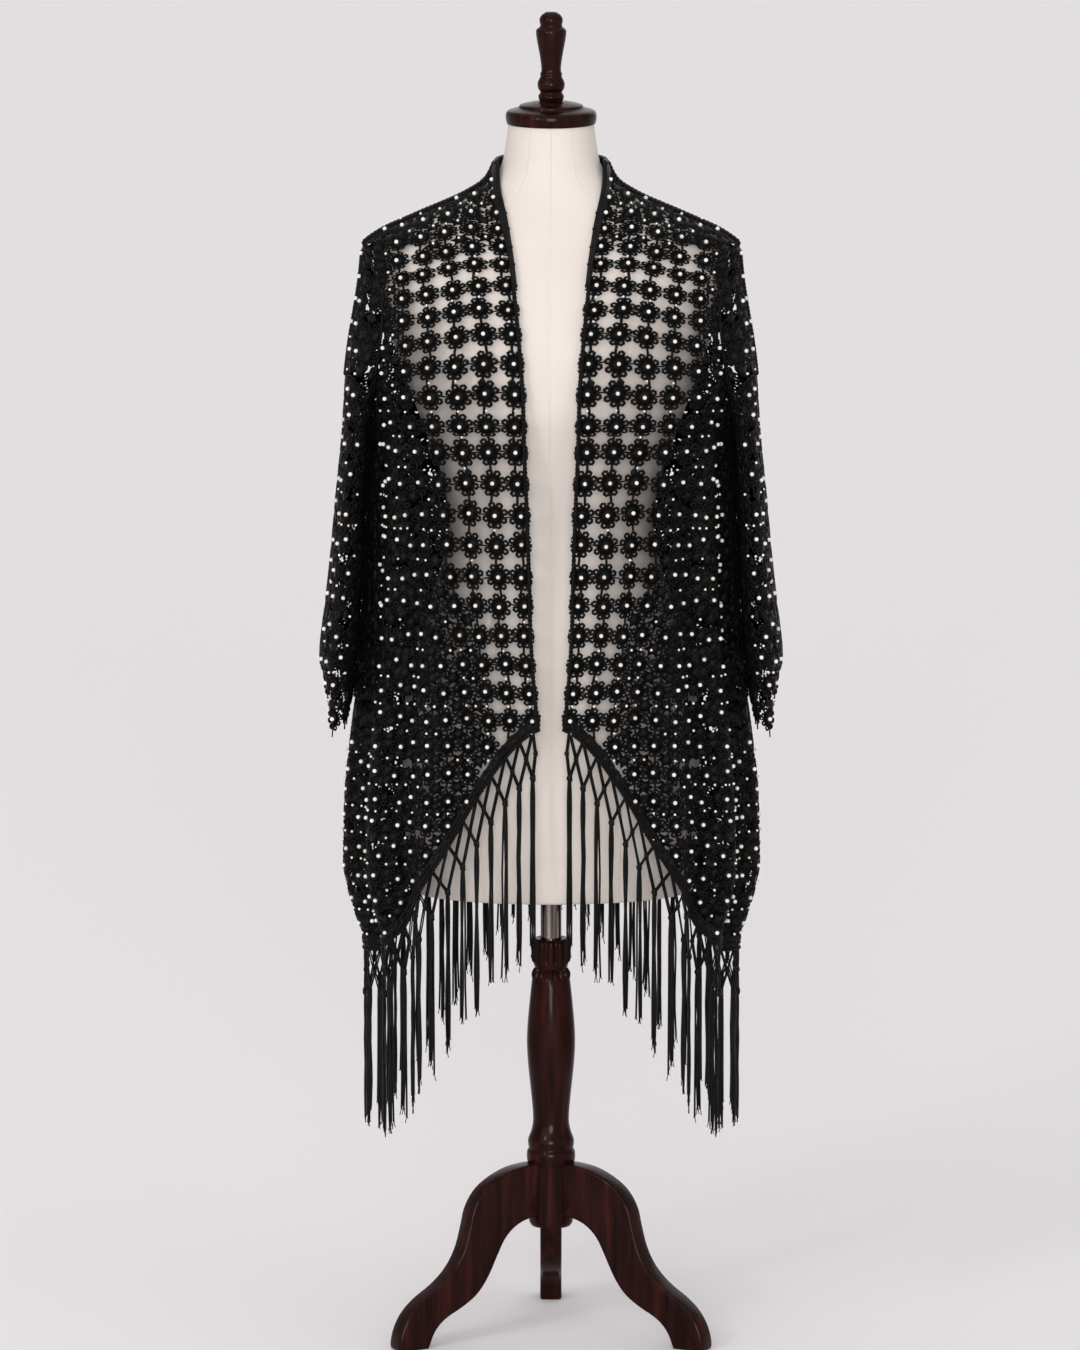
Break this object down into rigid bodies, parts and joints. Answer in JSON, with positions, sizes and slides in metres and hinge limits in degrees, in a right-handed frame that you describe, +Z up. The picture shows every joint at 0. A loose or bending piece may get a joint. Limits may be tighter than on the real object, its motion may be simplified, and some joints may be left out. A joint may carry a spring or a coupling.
{
  "type": "fringed lace shawl on a dress form",
  "caption": "Open lace shawl with wide sleeves, arched hem and knotted tassel fringe, worn on a limbless dress form on a turned stand.",
  "frame": {"origin": "on the floor under the middle of the whole object, seen from above", "axes": "+Z up along the pole, -Y towards the open front, +X towards the wearer's left"},
  "size_m": [0.532, 0.3497, 1.5362],
  "materials": {
    "black_lace": "matt rayon lace",
    "cream_jersey": "smooth matt jersey",
    "dark_wood": "glossy dark stain",
    "steel": "polished tube"
  },
  "bodies": {
    "stand": {"column": "dark_wood", "leg_back": "dark_wood", "leg_left": "dark_wood", "leg_right": "dark_wood"},
    "pole": {"pole": "steel"},
    "form": {"torso": "cream_jersey", "neck_cap": "dark_wood", "finial": "dark_wood", "back": "black_lace", "front_left": "black_lace", "front_right": "black_lace", "sleeve_left": "black_lace", "sleeve_right": "black_lace", "front_band": "black_lace", "fringe_left": "black_lace", "fringe_back": "black_lace", "fringe_right": "black_lace"}
  },
  "joints": [
    {"name": "height_slide", "type": "slide", "parent": "stand", "child": "pole", "axis": [0, 0, 1], "range_m": [-0.035, 0.18]},
    {"name": "form_swivel", "type": "hinge", "parent": "pole", "child": "form", "pos_m": [0, -0.0337, 0.498], "axis": [0, 0, 1], "continuous": true}
  ]
}
